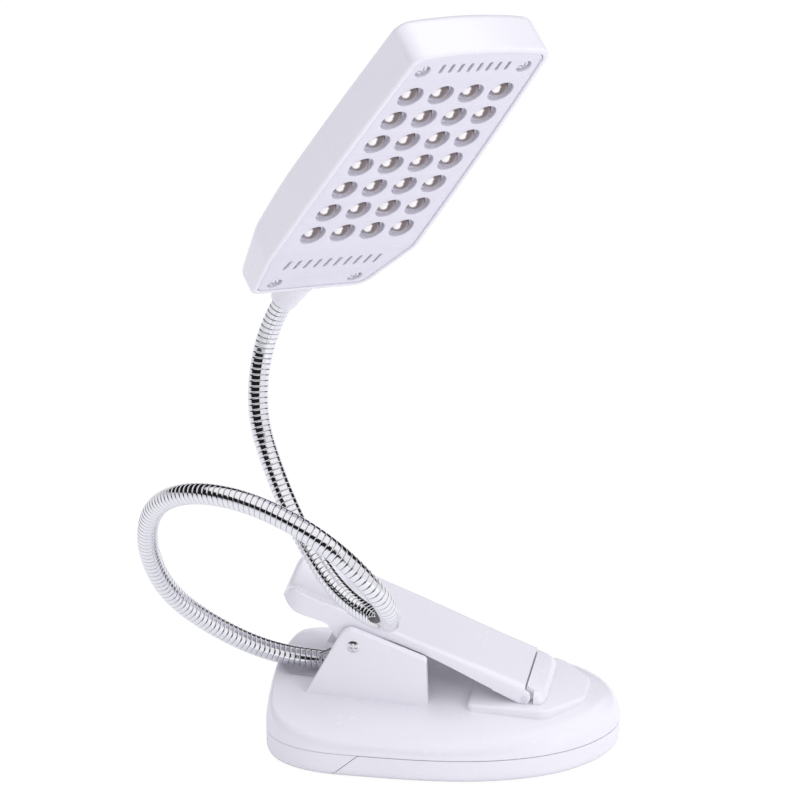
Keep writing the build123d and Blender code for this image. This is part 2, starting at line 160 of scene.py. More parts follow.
def closed_spline(ring, count):
    """A closed curve through the ring's points: a periodic cubic over chord length."""
    p = np.array(ring, float)
    n = len(p)
    h = np.linalg.norm(np.roll(p, -1, 0) - p, axis=1)
    k = np.arange(n)
    system = np.zeros((n, n))
    system[k, k] = 2 * (np.roll(h, 1) + h)
    system[k, (k - 1) % n] += np.roll(h, 1)
    system[k, (k + 1) % n] += h
    slope = (np.roll(p, -1, 0) - p) / h[:, None]
    bend = np.linalg.solve(system, 6 * (slope - np.roll(slope, 1, 0)))
    knots = np.concatenate([[0], np.cumsum(h)])
    t = np.linspace(0, knots[-1], count, endpoint=False)
    i = np.searchsorted(knots, t, side="right") - 1
    u = (t - knots[i])[:, None]
    g = h[i][:, None]
    j = (i + 1) % n
    curve = (bend[i] * (g - u) ** 3 + bend[j] * u**3) / (6 * g)
    return curve + (p[i] / g - bend[i] * g / 6) * (g - u) + (p[j] / g - bend[j] * g / 6) * u


def through(x, xs, zs):
    """Height at x of a natural cubic through the points (xs, zs)."""
    xs, zs = np.array(xs, float), np.array(zs, float)
    h = np.diff(xs)
    n = len(xs)
    system = np.eye(n)
    right = np.zeros(n)
    k = np.arange(1, n - 1)
    system[k, k - 1] = h[:-1]
    system[k, k] = 2 * (h[:-1] + h[1:])
    system[k, k + 1] = h[1:]
    right[1:-1] = 6 * np.diff(np.diff(zs) / h)
    bend = np.linalg.solve(system, right)
    i = np.clip(np.searchsorted(xs, x, side="right") - 1, 0, n - 2)
    g, a, b = h[i], x - xs[i], xs[i + 1] - x
    curve = (bend[i] * b**3 + bend[i + 1] * a**3) / (6 * g)
    return curve + (zs[i] / g - bend[i] * g / 6) * b + (zs[i + 1] / g - bend[i + 1] * g / 6) * a


def rounded(corners, steps=8):
    """A closed outline from (u, v, radius): each corner with a radius becomes an arc."""
    points = []
    n = len(corners)
    for k in range(n):
        p = np.array(corners[k][:2], float)
        radius = corners[k][2]
        if radius == 0:
            points.append(p)
            continue
        a = np.array(corners[k - 1][:2], float) - p
        b = np.array(corners[(k + 1) % n][:2], float) - p
        a, b = a / np.linalg.norm(a), b / np.linalg.norm(b)
        half = np.arccos(np.clip(a @ b, -1, 1)) / 2
        centre = p + (a + b) / np.linalg.norm(a + b) * radius / np.sin(half)
        start, end = p + a * radius / np.tan(half), p + b * radius / np.tan(half)
        t = np.linspace(0, 1, steps)[:, None]
        arc = (start - centre) * (1 - t) + (end - centre) * t
        points.extend(centre + arc / np.linalg.norm(arc, axis=1)[:, None] * radius)
    return np.array(points)


def outward(outline):
    """Unit normals of a closed outline that runs anticlockwise."""
    along = np.roll(outline, -1, 0) - np.roll(outline, 1, 0)
    normal = np.stack([along[:, 1], -along[:, 0]], 1)
    return normal / np.linalg.norm(normal, axis=1)[:, None]


def anticlockwise(outline):
    """The same outline, turned to run anticlockwise."""
    x, y = outline.T
    area = np.sum(x * np.roll(y, -1) - np.roll(x, -1) * y)
    return outline if area > 0 else outline[::-1]


# ------------------------------------------------------------------ meshes


def grid_faces(rows, columns, start=0):
    """Quads of a grid of points whose columns close into a ring."""
    r, c = np.meshgrid(np.arange(rows - 1), np.arange(columns), indexing="ij")
    n = (c + 1) % columns
    quads = np.stack([r * columns + c, r * columns + n, (r + 1) * columns + n, (r + 1) * columns + c], -1)
    return (quads.reshape(-1, 4) + start).tolist()


def loft(rings):
    """Rings of equal length joined side by side, with a flat cap on each end."""
    rings = np.array(rings, float)
    rows, columns = rings.shape[:2]
    faces = grid_faces(rows, columns)
    faces.append(list(range(columns))[::-1])
    faces.append(list(range((rows - 1) * columns, rows * columns)))
    return rings.reshape(-1, 3), faces


def joined(*shapes):
    """Several (points, faces) as one."""
    points, faces, start = [], [], 0
    for p, f in shapes:
        points.append(p)
        faces.extend([[i + start for i in face] for face in f])
        start += len(p)
    return np.concatenate(points), faces


def slab(outline, low, high, soft, place):
    """An outline pulled from low to high, whose two edges are quarter-round with radius soft."""
    outline = anticlockwise(outline)
    normal = outward(outline)
    angle = np.linspace(0, np.pi / 2, 5)
    inset = soft * (1 - np.sin(angle))
    rise = soft * (1 - np.cos(angle))
    rings = [place(outline - normal * i, low + d) for i, d in zip(inset, rise)]
    rings += [place(outline - normal * i, high - d) for i, d in zip(inset[::-1], rise[::-1])]
    return loft(rings)


def upright(uv, w):
    """Outline in X and Z, pulled along Y."""
    return np.stack([uv[:, 0], np.full(len(uv), w), uv[:, 1]], 1)


def level(uv, w):
    """Outline in X and Y, pulled along Z."""
    return np.stack([uv[:, 0], uv[:, 1], np.full(len(uv), float(w))], 1)


def to_head(points):
    """From the head's own frame to the lamp's."""
    return HEAD_CENTRE + points @ HEAD_FRAME


def new_spline(curve, kind, points):
    """A spline of the curve with the given points, all of weight 1."""
    spline = curve.splines.new(kind)
    spline.points.add(len(points) - 1)
    spline.points.foreach_set("co", np.column_stack([points, np.ones(len(points))]).ravel())
    return spline


def curve_mesh(curve):
    """A curve turned into a mesh."""
    holder = bpy.data.objects.new(curve.name, curve)
    mesh = bpy.data.meshes.new_from_object(holder)
    bpy.data.objects.remove(holder)
    return mesh


def piece(name, shape, look, body, stands_for=(), crease=35.0):
    """A piece in metres from (points, faces): welded, normals outwards, smooth up to the crease angle."""
    points, faces = shape
    mesh = bpy.data.meshes.new(name)
    mesh.from_pydata((points * MM).tolist(), [], faces)
    bm = bmesh.new()
    bm.from_mesh(mesh)
    bmesh.ops.remove_doubles(bm, verts=bm.verts, dist=2e-6)
    bmesh.ops.dissolve_degenerate(bm, edges=bm.edges, dist=1e-7)
    bmesh.ops.recalc_face_normals(bm, faces=bm.faces)
    bm.to_mesh(mesh)
    bm.free()
    mesh.shade_smooth()
    mesh.set_sharp_from_angle(angle=np.radians(crease))
    mesh.materials.append(look)
    obj = bpy.data.objects.new(name, mesh)
    bpy.context.scene.collection.objects.link(obj)
    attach(obj, body)
    if stands_for:
        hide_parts(*stands_for)
    return obj


# ------------------------------------------------------------------ materials

# repeats of a noise for each metre
CLOUDS = 40.0
HAZE = 220.0
SMEARS = 500.0
SHEEN = 700.0
FINE_SHEEN = 900.0
GRAIN = 1600.0


def material(name):
    """A node material and its shader."""
    made = bpy.data.materials.new(name)
    made.use_nodes = True
    return made, made.node_tree, made.node_tree.nodes["Principled BSDF"]


def noise(tree, scale, detail=2.0):
    """Noise over the object's own coordinates. Scale is in repeats for each metre."""
    place = tree.nodes.new("ShaderNodeTexCoord")
    texture = tree.nodes.new("ShaderNodeTexNoise")
    texture.inputs["Scale"].default_value = scale
    texture.inputs["Detail"].default_value = detail
    tree.links.new(place.outputs["Object"], texture.inputs["Vector"])
    return texture.outputs["Fac"]


def colour_mix(tree):
    """A node that mixes two colours, and its sockets: factor, first colour, second colour, result."""
    mix = tree.nodes.new("ShaderNodeMix")
    mix.data_type = "RGBA"
    return mix, (mix.inputs[0], mix.inputs[6], mix.inputs[7], mix.outputs[2])


def tint(tree, factor, low, high, shader):
    """Base colour between two colours."""
    share, first, second, result = colour_mix(tree)[1]
    first.default_value = (*low, 1)
    second.default_value = (*high, 1)
    tree.links.new(factor, share)
    tree.links.new(result, shader.inputs["Base Color"])
    return result


def point_value(tree, name):
    """The value that a piece's points carry under a name."""
    value = tree.nodes.new("ShaderNodeAttribute")
    value.attribute_name = name
    return value.outputs["Fac"]


def rough_from(tree, factor, low, high, shader):
    """Roughness between two values."""
    spread = tree.nodes.new("ShaderNodeMapRange")
    spread.inputs["To Min"].default_value = low
    spread.inputs["To Max"].default_value = high
    tree.links.new(factor, spread.inputs["Value"])
    tree.links.new(spread.outputs["Result"], shader.inputs["Roughness"])


def bump_from(tree, factor, strength, depth_mm, shader):
    """A bump of the given depth in millimetres."""
    bump = tree.nodes.new("ShaderNodeBump")
    bump.inputs["Strength"].default_value = strength
    bump.inputs["Distance"].default_value = depth_mm * MM
    tree.links.new(factor, bump.inputs["Height"])
    tree.links.new(bump.outputs["Normal"], shader.inputs["Normal"])


def moulded_plastic(name, low, high, rough=(0.22, 0.3), coat=0.3, grain=0.004):
    """Moulded plastic: faint clouding, a fine grain in the gloss and a thin clear skin."""
    made, tree, shader = material(name)
    tint(tree, noise(tree, CLOUDS), low, high, shader)
    rough_from(tree, noise(tree, SHEEN, 4.0), *rough, shader)
    bump_from(tree, noise(tree, GRAIN), 0.25, grain, shader)
    shader.inputs["Coat Weight"].default_value = coat
    shader.inputs["Coat Roughness"].default_value = 0.12
    return made


def polished_metal(name, low, high, rough=(0.06, 0.14)):
    """Plated metal with a slight haze."""
    made, tree, shader = material(name)
    shader.inputs["Metallic"].default_value = 1.0
    tint(tree, noise(tree, HAZE), low, high, shader)
    rough_from(tree, noise(tree, SMEARS, 3.0), *rough, shader)
    return made


def wound_chrome(name):
    """Chrome strip: bright crests, with painted shade in the joints between the turns."""
    made, tree, shader = material(name)
    shader.inputs["Metallic"].default_value = 1.0
    # painted shade: the base colour goes dark in the joints between the turns
    tint(tree, point_value(tree, "joint_depth"), (0.86, 0.86, 0.89), (0.04, 0.04, 0.06), shader)
    rough_from(tree, noise(tree, FINE_SHEEN, 3.0), 0.05, 0.13, shader)
    return made


def clear_lens(name):
    """Epoxy of an LED: painted shade at one side, painted light at the other, painted highlights and a
    glossy skin.
    """
    made, tree, shader = material(name)
    # painted shade on the lens's dark side and painted light on its pale side
    epoxy_painted_shading = tint(tree, point_value(tree, "lens_painted_shading"), (0.085, 0.045, 0.050), (0.50, 0.46, 0.52), shader)
    # painted highlights laid over the lens's colour
    share, first, second, result = colour_mix(tree)[1]
    second.default_value = (1.0, 0.97, 0.95, 1)
    tree.links.new(point_value(tree, "lens_painted_glint"), share)
    tree.links.new(epoxy_painted_shading, first)
    tree.links.new(result, shader.inputs["Base Color"])
    rough_from(tree, noise(tree, FINE_SHEEN), 0.04, 0.09, shader)
    shader.inputs["Coat Weight"].default_value = 1.0
    shader.inputs["Coat IOR"].default_value = 1.8
    shader.inputs["Coat Roughness"].default_value = 0.03
    return made


WHITE = moulded_plastic("white_plastic", (0.80, 0.79, 0.84), (0.83, 0.82, 0.87))
PANEL = moulded_plastic("panel_plastic", (0.72, 0.70, 0.79), (0.76, 0.74, 0.82), (0.36, 0.46), 0.1, 0.01)
PAD_WHITE = moulded_plastic("pad_plastic", (0.80, 0.79, 0.84), (0.84, 0.83, 0.88), (0.3, 0.4), 0.15)
CHROME = wound_chrome("wound_chrome")
STEEL = polished_metal("screw_steel", (0.55, 0.54, 0.56), (0.70, 0.69, 0.72))
BRIGHT_STEEL = polished_metal("head_steel", (0.74, 0.74, 0.77), (0.86, 0.86, 0.89), (0.2, 0.3))
LENS = clear_lens("led_lens")
BLACK = moulded_plastic("black_plastic", (0.015, 0.015, 0.017), (0.03, 0.03, 0.034), (0.35, 0.5), 0.1)
BOARD = moulded_plastic("board_green", (0.02, 0.10, 0.05), (0.03, 0.14, 0.07), (0.3, 0.45), 0.4)
SLEEVE = moulded_plastic("lead_sleeve", (0.05, 0.05, 0.055), (0.08, 0.08, 0.085), (0.45, 0.6), 0.0)
WRAP = moulded_plastic("cell_wrap", (0.05, 0.16, 0.30), (0.07, 0.20, 0.36), (0.18, 0.28), 0.5)
CONTACT = polished_metal("contact_metal", (0.62, 0.60, 0.55), (0.74, 0.72, 0.68), (0.15, 0.3))


# ------------------------------------------------------------------ base


def base_ring(count):
    """The base seen from above: a gently bowed rear end, rounded corners and a round tip."""
    right = [(x, -y) for x, y in reversed(BASE_SIDE)]
    return closed_spline([(-BASE_HALF_LENGTH, 0), *BASE_SIDE, (BASE_HALF_LENGTH, 0), *right], count)


def crown(x, y):
    """Height of the cambered top: a cylinder along the base that falls towards the tip."""
    return CREST_Z - CREST_FALL * x - CROWN_RADIUS + np.sqrt(CROWN_RADIUS**2 - y**2)


def base_top():
    """Rings from the parting line over a soft shoulder to the middle of the cambered top.

    With the shoulder's reach R and angle a, a ring lies R(1 - cos(a)^p) inside the outline and
    at the share sin(a)^p of the height from the parting line to the crown. R grows from the rear
    end forwards. A shallow channel in the rear of the top, flat across its floor, leads the arm out.
    """
    plan = base_ring(300)
    angle = np.linspace(0, np.pi / 2, 18)
    power = 0.9
    underside = 0.97
    rear_end, rear_length = -48, 26
    channel_start, channel_end, channel_y = -49, -29, -2.0
    channel_depth, channel_half_width = 2.0, 5.2
    forwards = smooth_step((plan[:, :1] - rear_end) / rear_length)
    reach = REAR_REACH + (SHOULDER_REACH - REAR_REACH) * forwards
    rings = [level(plan * underside, PARTING_Z + SEAM_RISE), level(plan, PARTING_Z + SEAM_RISE)]
    for a in angle[1:]:
        inset = reach * (1 - np.cos(a) ** power)
        ring = plan * (1 - inset / np.array([BASE_HALF_LENGTH, BASE_HALF_WIDTH]))
        share = np.sin(a) ** power
        height = PARTING_Z + (crown(*ring.T) - PARTING_Z) * share
        rings.append(np.column_stack([ring, height]))
    edge = rings[-1][:, :2]
    for k in np.linspace(1, 0, 44)[1:]:
        ring = edge * k
        rings.append(np.column_stack([ring, crown(*ring.T)]))
    rings = np.array(rings)
    x, y = rings[..., 0], rings[..., 1]
    along = smooth_step((x - channel_start) / 6) * smooth_step((channel_end - x) / 5)
    across = np.exp(-(((y - channel_y) / channel_half_width) ** 4))
    rings[..., 2] -= channel_depth * along * across * (rings[..., 2] > PARTING_Z + 3)
    return loft(rings)


def ears():
    """Two upright plates that carry the lever's pivot and run down into the base's top."""
    corners = [(-40.1, EAR_LOW, 0), (-26.4, 39.3, 3.2), (-3.2, 30.9, 1.5), (-2.6, EAR_LOW, 0)]
    outline = rounded(corners)
    sides = [slab(outline, low, low + EAR_OUT - EAR_IN, 0.45, upright) for low in (EAR_IN, -EAR_OUT)]
    return joined(*sides)


def hose_block():
    """The block between the ears that holds the arm's crimped end."""
    rear, front, half = -32.0, -17.3, 6.2
    outline = rounded([(rear, -half, 1.5), (front, -half, 1.5), (front, half, 1.5), (rear, half, 1.5)])
    return slab(outline, 15.0, 25.0, 1.0, level)


def pad():
    """The raised lower jaw pad: straight sides, a bowed front and a soft top edge."""
    corners = [(8.3, -16.0, 2.0), (31.0, -16.0, 6.0), (40.6, -6.0, 5.0), (41.0, 0.0, 0)]
    corners += [(40.6, 6.0, 5.0), (31.0, 16.0, 6.0), (8.3, 16.0, 2.0)]
    return slab(rounded(corners, 10), PAD_LOW_Z, PAD_TOP_Z, 0.9, level)


# ------------------------------------------------------------------ clip


def lever_top(x):
    """Height of the lever's top edge: a straight slope, then a thumb paddle that turns up."""
    height, at = 36.3, -10.0
    straight = height - LEVER_SLOPE * (x - at)
    xs = [PADDLE_END_X, -43.0, -39.0, -34.0, -29.0, PADDLE_START_X]
    zs = [46.6, 47.9, 46.9, 44.9, 43.3, height - LEVER_SLOPE * (PADDLE_START_X - at)]
    return np.where(x > PADDLE_START_X, straight, through(x, xs, zs))


def lever_low(x):
    """Height of the side walls' lower edge, with a round lug about the pivot."""
    xs = [PADDLE_END_X, -43.6, -41.6, -37.9, -33.0, -29.5, -22.0, -14.0, -4.0, 6.0, 16.0, 24.0]
    zs = [43.2, 41.8, 41.0, 40.0, 38.5, 37.2, 36.3, 34.6, 31.0, 26.4, 21.6, 18.4]
    low = through(x, xs, zs)
    lug = PIVOT[1] - np.sqrt(np.clip(LUG_RADIUS**2 - (x - PIVOT[0]) ** 2, 0, None))
    near = smooth_step((7.5 - np.abs(x - PIVOT[0] + 1.0)) / 4.0)
    return low * (1 - near) + np.minimum(low, lug) * near


def lever():
    """A channel section carried along the lever, dished across and drawn in at the thumb paddle.

    At each station the outer wall goes up one side, over the top with a rounded corner and
    down the other, and the inner wall comes back inside it. The paddle itself is solid, and its
    end is rounded by a quarter ellipse about its middle height.
    """
    paddle = PADDLE_END_X - PADDLE_START_X
    t = np.linspace(0, 1, 60)
    plain = np.linspace(LEVER_NOSE_X, PADDLE_START_X, 30)[:-1]
    x = np.concatenate([plain, PADDLE_START_X + paddle * np.sin(t * np.pi / 2)])
    end_round = 4.6
    end = np.sqrt(np.clip(1 - ((PADDLE_END_X + end_round - x) / end_round).clip(0, 1) ** 2, 0, 1))
    middle = (lever_top(x) + lever_low(x)) / 2
    high = middle + (lever_top(x) - middle) * end
    low = middle + (lever_low(x) - middle) * end
    half = LEVER_HALF_WIDTH - 3.0 * ((-38.5 - x) / 6.7).clip(0, 1) ** 2.2
    dish = 2.6 * smooth_step((-26 - x) / 8) * smooth_step((x + 45.4) / 4.5)
    soft = np.minimum(0.9 + 1.6 * smooth_step((x + 14) / 36), (high - low) * 0.48)
    hollow = np.where(x < -38.0, 0.0, 1.0) * np.clip(high - low - 2.2 - 0.4 * soft, 0, None)
    v = np.linspace(-1, 1, 17)
    arc = np.linspace(0, np.pi / 2, 8)
    rings = []
    for k in range(len(x)):
        w, s = half[k], soft[k]
        left = [(-w, low[k])]
        left += [(-w + s * (1 - np.cos(a)), high[k] - s * (1 - np.sin(a))) for a in arc]
        y = v[1:-1] * (w - s)
        over = high[k] - dish[k] * (1 - np.abs(v[1:-1]) ** 2.2)
        right = [(-p, q) for p, q in left[::-1]]
        inner = w - LEVER_SKIN
        roof = low[k] + hollow[k]
        back = [(inner, low[k]), (inner, roof), (-inner, roof), (-inner, low[k])]
        section = np.array(left + list(zip(y, over)) + right + back)
        rings.append(np.column_stack([np.full(len(section), x[k]), section]))
    return loft(rings)


def lever_arms():
    """The two lugs at the lever's nose that hold the foot's pin, a hair inside the lever's sides."""
    corners = [(15.0, 21.6, 0.3), (15.0, 24.2, 0.3), (24.4, 21.9, 1.2), (26.6, 20.3, 1.6)]
    corners += [(25.2, 17.9, 1.2), (22.6, 18.1, 0.8)]
    outline = rounded(corners)
    wall = LEVER_HALF_WIDTH - 0.04
    side = LEVER_HALF_WIDTH - LEVER_SKIN
    low = slab(outline, -wall, -side, 0.25, upright)
    return joined(low, slab(outline, side, wall, 0.25, upright))


def foot():
    """The rocking foot: a tongue under the lever and a soft nose in front of it.

    The nose is a side profile carried across the foot and drawn in towards its lower back
    corner by (1 - |y / half|^p)^(1/p), so its ends are round from above and from in front.
    """
    tongue = [(24.85, 22.9, 0.15), (28.0, 21.66, 0.3), (28.4, FOOT_LOW_Z, 0.3), (19.6, FOOT_LOW_Z, 0.3)]
    tongue += [(19.7, 19.6, 0.5), (22.6, 20.9, 0.5), (24.6, 21.2, 0.3)]
    inside = slab(rounded(tongue), -10.6, 10.6, 0.2, upright)
    corner = np.array([26.9, FOOT_LOW_Z])
    profile = [(26.9, 22.12, 0.15), (29.2, 21.2, 2.2), (30.5, 19.2, 1.3)]
    profile += [(30.45, FOOT_LOW_Z, 0.3), (*corner, 0.1)]
    profile = anticlockwise(rounded(profile))
    half, power = 12.6, 4.5
    rings = []
    for t in np.linspace(-1, 1, 41):
        y = half * np.sin(t * np.pi / 2)
        draw = max(1 - abs(y / half) ** power, 0.0) ** (1 / power)
        rings.append(upright(corner + (profile - corner) * max(draw, 0.02), y))
    return joined(inside, loft(rings))


def cross_head(radius, dome, sink, place):
    """A round screw head with a cross recess: height dome(1 - (r/R)^2), less the recess.

    The recess is two crossed bars with soft walls, cut to the depth sink.
    """
    rings, around = 20, 72
    r = np.linspace(1, 0, rings)[:, None] * radius
    a = np.linspace(0, 2 * np.pi, around, endpoint=False)[None, :]
    u, v = r * np.cos(a), r * np.sin(a)
    height = dome * (1 - (r / radius) ** 2) + 0 * a
    arm, thick, edge = 0.62 * radius, 0.13 * radius, 0.05 * radius
    underside = -0.8

    def bar(across, along):
        wide = smooth_step((thick - np.abs(across)) / edge + 0.5)
        return wide * smooth_step((arm - np.abs(along)) / edge + 0.5)

    height = height - sink * np.maximum(bar(u, v), bar(v, u))
    low = place(np.stack([u[0], v[0], np.full(around, underside)], 1))
    top = [place(np.stack([u[k], v[k], height[k]], 1)) for k in range(rings)]
    return loft([low, *top])


def pivot():
    """The lever's pin right through the ears, with a cross-recessed head on the near side."""
    face = EAR_OUT + 0.05

    def near(points):
        return np.stack([PIVOT[0] + points[:, 0], -face - points[:, 2], PIVOT[1] + points[:, 1]], 1)

    def far(points):
        return np.stack([PIVOT[0] - points[:, 0], face + points[:, 2], PIVOT[1] + points[:, 1]], 1)

    a = np.linspace(0, 2 * np.pi, 32, endpoint=False)
    shaft = PIVOT + PIVOT_PIN_RADIUS * np.stack([np.cos(a), np.sin(a)], 1)
    shaft = loft([upright(shaft, -face - 0.05), upright(shaft, face + 0.05)])
    heads = [cross_head(PIVOT_HEAD_RADIUS, 0.55, 0.5, near), cross_head(PIVOT_HEAD_RADIUS, 0.3, 0.0, far)]
    return joined(*heads, shaft)


# ------------------------------------------------------------------ arm


def route_line(points):
    """Points of the smooth line along the route, read from its own NURBS curve."""
    curve = bpy.data.curves.new("arm_line", "CURVE")
    curve.dimensions = "3D"
    spline = new_spline(curve, "NURBS", np.array(points) * MM)
    spline.order_u = 3
    spline.use_endpoint_u = True
    spline.resolution_u = 40
    mesh = curve_mesh(curve)
    line = np.array([v.co for v in mesh.vertices]) / MM
    bpy.data.meshes.remove(mesh)
    return line


def carried_frames(line, spacing):
    """Even stations along the line, slightly smoothed, with a normal carried along without twist."""
    lengths = np.concatenate([[0], np.cumsum(np.linalg.norm(np.diff(line, axis=0), axis=1))])
    s = np.arange(0, lengths[-1], spacing)
    centre = np.stack([np.interp(s, lengths, line[:, k]) for k in range(3)], 1)
    reach = 9
    padded = np.pad(centre, ((reach, reach), (0, 0)), mode="reflect", reflect_type="odd")
    kernel = np.hanning(2 * reach + 1)
    kernel /= kernel.sum()
    centre = np.stack([np.convolve(padded[:, k], kernel, "valid") for k in range(3)], 1)
    along = np.gradient(centre, axis=0)
    along /= np.linalg.norm(along, axis=1)[:, None]
    normal = np.zeros_like(along)
    carried = np.cross(along[0], (0, 1, 0))
    for k in range(len(along)):
        carried = carried - along[k] * (carried @ along[k])
        carried /= np.linalg.norm(carried)
        normal[k] = carried
    return s, centre, along, normal


def wound_tube(s, centre, along, normal, first, last):
    """A strip wound round the line from first to last, in arc length.

    Point (k, a) lies at s = k * step + pitch * a / 2 pi, so a row of the grid follows the
    strip's own helix. The radius falls in a narrow groove where two turns meet.
    """
    step = HOSE_PITCH / HOSE_ALONG
    k = np.arange(int((first - HOSE_PITCH) / step) - 1, int(last / step) + HOSE_ALONG + 2)
    a = np.linspace(0, 2 * np.pi, HOSE_AROUND, endpoint=False)
    place = np.clip(k[:, None] * step + HOSE_PITCH * a[None, :] / (2 * np.pi), first, last)
    phase = ((place / HOSE_PITCH - a[None, :] / (2 * np.pi)) % 1.0) * 2 - 1
    joint = np.abs(phase) ** GROOVE_POWER
    radius = HOSE_RADIUS - GROOVE_DEPTH * joint
    flat = place.ravel()
    at = [np.stack([np.interp(flat, s, v[:, j]) for j in range(3)], 1) for v in (centre, along, normal)]
    side = np.cross(at[1], at[2])
    angle = np.broadcast_to(a[None, :], place.shape).ravel()[:, None]
    points = at[0] + radius.ravel()[:, None] * (at[2] * np.cos(angle) + side * np.sin(angle))
    rows, columns = place.shape
    r, c = np.meshgrid(np.arange(rows - HOSE_ALONG - 1), np.arange(columns), indexing="ij")
    wrap = (c == columns - 1) * HOSE_ALONG
    n = (c + 1) % columns
    quads = [r * columns + c, (r + wrap) * columns + n, (r + wrap + 1) * columns + n, (r + 1) * columns + c]
    quads = np.stack(quads, -1).reshape(-1, 4)
    spots = place.ravel()[quads]
    quads = quads[spots.max(1) - spots.min(1) > 1e-6]
    return points, quads, joint.ravel()


def arm_piece(name, stations, first, last):
    """One length of the wound arm as a mesh with its groove depth as an attribute, ends closed."""
    points, quads, joint = wound_tube(*stations, first, last)
    mesh = bpy.data.meshes.new(name)
    mesh.from_pydata((points * MM).tolist(), [], quads.tolist())
    depth = mesh.attributes.new("joint_depth", "FLOAT", "POINT")
    depth.data.foreach_set("value", joint.astype(np.float32))
    mesh.shade_smooth()
    bm = bmesh.new()
    bm.from_mesh(mesh)
    bmesh.ops.delete(bm, geom=[v for v in bm.verts if not v.link_faces], context="VERTS")
    bmesh.ops.remove_doubles(bm, verts=bm.verts, dist=1e-6)
    bmesh.ops.dissolve_degenerate(bm, edges=bm.edges, dist=1e-7)
    caps = bmesh.ops.holes_fill(bm, edges=[e for e in bm.edges if e.is_boundary], sides=0)["faces"]
    bmesh.ops.recalc_face_normals(bm, faces=bm.faces)
    for edge in {e for face in caps for e in face.edges}:
        edge.smooth = False
    bm.to_mesh(mesh)
    bm.free()
    mesh.materials.append(CHROME)
    obj = bpy.data.objects.new(name, mesh)
    bpy.context.scene.collection.objects.link(obj)
    return obj


def make_arm():
    """Five lengths of wound arm, each from the middle of one rigid length to the middle of the next."""
    stations = carried_frames(route_line(ROUTE), STATION_SPACING)
    s, centre, along = stations[:3]
    joints = {j["name"]: np.array(j["pos_m"]) / MM for j in frame["joints"] if j["name"] in ARM_BENDS}
    at = [s[np.argmin(np.linalg.norm(centre - joints[name], axis=1))] for name in ARM_BENDS]
    cuts = [HOSE_START] + [(p + q) / 2 for p, q in zip(at, at[1:])] + [s[-1]]
    for k, place in enumerate(at):
        obj = arm_piece(f"wound_arm_{k + 1}", stations, cuts[k], cuts[k + 1])
        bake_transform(obj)
        names = ["arm_hose_" + ARM_NODES[k]]
        if k == len(at) - 1:
            names.append("arm_hose_" + ARM_NODES[-1])
        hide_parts(*names)


# ------------------------------------------------------------------ head


def head_outline(grow=0.0):
    """The panel's outline: a crowned top, bowed sides and a tapered chin, with round corners."""
    half, top = TOP_CORNER[0] + grow, TOP_Y - grow
    x = np.linspace(0, half, 9)[1:-2]
    crowned = [(u, top + (TOP_CORNER[1] - TOP_Y) * (u / half) ** 2, 0) for u in x]
    y = np.linspace(TOP_CORNER[1], SIDE_END_Y, 12)[1:-1]
    side = SIDE_END_Y - TOP_CORNER[1]
    bowed = [(half + SIDE_BOW * (1 - ((SIDE_END_Y - v) / side) ** 2), v, 0) for v in y]
    right = crowned + [(half, TOP_CORNER[1] - grow, CORNER_RADIUS + grow)] + bowed
    right.append((half + SIDE_BOW, SIDE_END_Y, CHIN_RADIUS))
    right.append((NECK_CORNER[0] + grow, NECK_CORNER[1] + grow, CORNER_RADIUS + grow))
    left = [(-u, v, r) for u, v, r in right[::-1]]
    return anticlockwise(rounded([(0, top, 0)] + right + left, 12))


def chin(points):
    """Bends the front back at the chin, while the back of the head stays where it is."""
    depth = CHIN_DROP * np.clip(points[:, 1] - CHIN_Y, 0, None)
    share = np.clip((HEAD_DEPTH - points[:, 2]) / HEAD_DEPTH, 0, 1.05)
    return np.column_stack([points[:, :2], points[:, 2] + depth * share])


def head_shell():
    """The back shell: inner face, lip round the panel, straight side wall and round back edge.

    The inner face's rings are the outline scaled by k, at the depth D(1 - 0.985 k^5)^(1/2). The
    back edge is a quarter circle that grows towards the neck, and the back is slightly crowned.
    """
    lip_foot, lip_rise, lip_fall, wall_foot = -0.1, RIM_PROUD - 0.1, 0.9, 1.5
    inner_low, neck_start, neck_reach = 3.0, 15, 40
    inner, outer = head_outline(PANEL_GAP), head_outline(PANEL_GAP + RIM_WALL)
    rings = []
    for k in np.sin(np.linspace(0.02, np.pi / 2, 20)):
        z = (HEAD_DEPTH - BACK_WALL) * (1 - 0.985 * k**5) ** 0.5
        rings.append(level(inner * k, max(z, inner_low)))
    rings += [level(inner, PANEL_THICK), level(inner, lip_foot)]
    for a in np.linspace(0, np.pi / 2, 5):
        ring = inner + (outer - inner) * 0.25 * (1 - np.cos(a))
        rings.append(level(ring, lip_foot - lip_rise * np.sin(a)))
    for a in np.linspace(0, np.pi / 2, 6):
        ring = inner + (outer - inner) * (0.45 + 0.55 * np.sin(a))
        rings.append(level(ring, lip_fall * (1 - np.cos(a)) - RIM_PROUD))
    radius = BACK_RADIUS + NECK_ROUND * smooth_step((outer[:, 1] - neck_start) / neck_reach)
    edge_z = HEAD_DEPTH - BACK_CROWN - radius
    for share in np.linspace(0, 1, 7)[:-1]:
        rings.append(np.column_stack([outer, wall_foot + (edge_z - wall_foot) * share]))
    half = np.abs(outer).max(0)
    for a in np.linspace(0, np.pi / 2, 10):
        ring = outer * (1 - (radius * (1 - np.cos(a)))[:, None] / half)
        rings.append(np.column_stack([ring, edge_z + radius * np.sin(a)]))
    back = rings[-1][:, :2]
    for k in np.linspace(1, 0.004, 16)[1:]:
        rings.append(level(back * k, HEAD_DEPTH - BACK_CROWN * k**2))
    shape = loft([chin(r) for r in rings])
    return to_head(shape[0]), shape[1]


def slot_ring(x, y, length):
    """A vent slot with round ends."""
    a = np.linspace(0, np.pi, 5)
    end = y + length / 2 - VENT_HALF_WIDTH
    top = np.stack([x + VENT_HALF_WIDTH * np.cos(a), end + VENT_HALF_WIDTH * np.sin(a)], 1)
    return np.concatenate([top, np.stack([2 * x - top[:, 0], 2 * y - top[:, 1]], 1)])


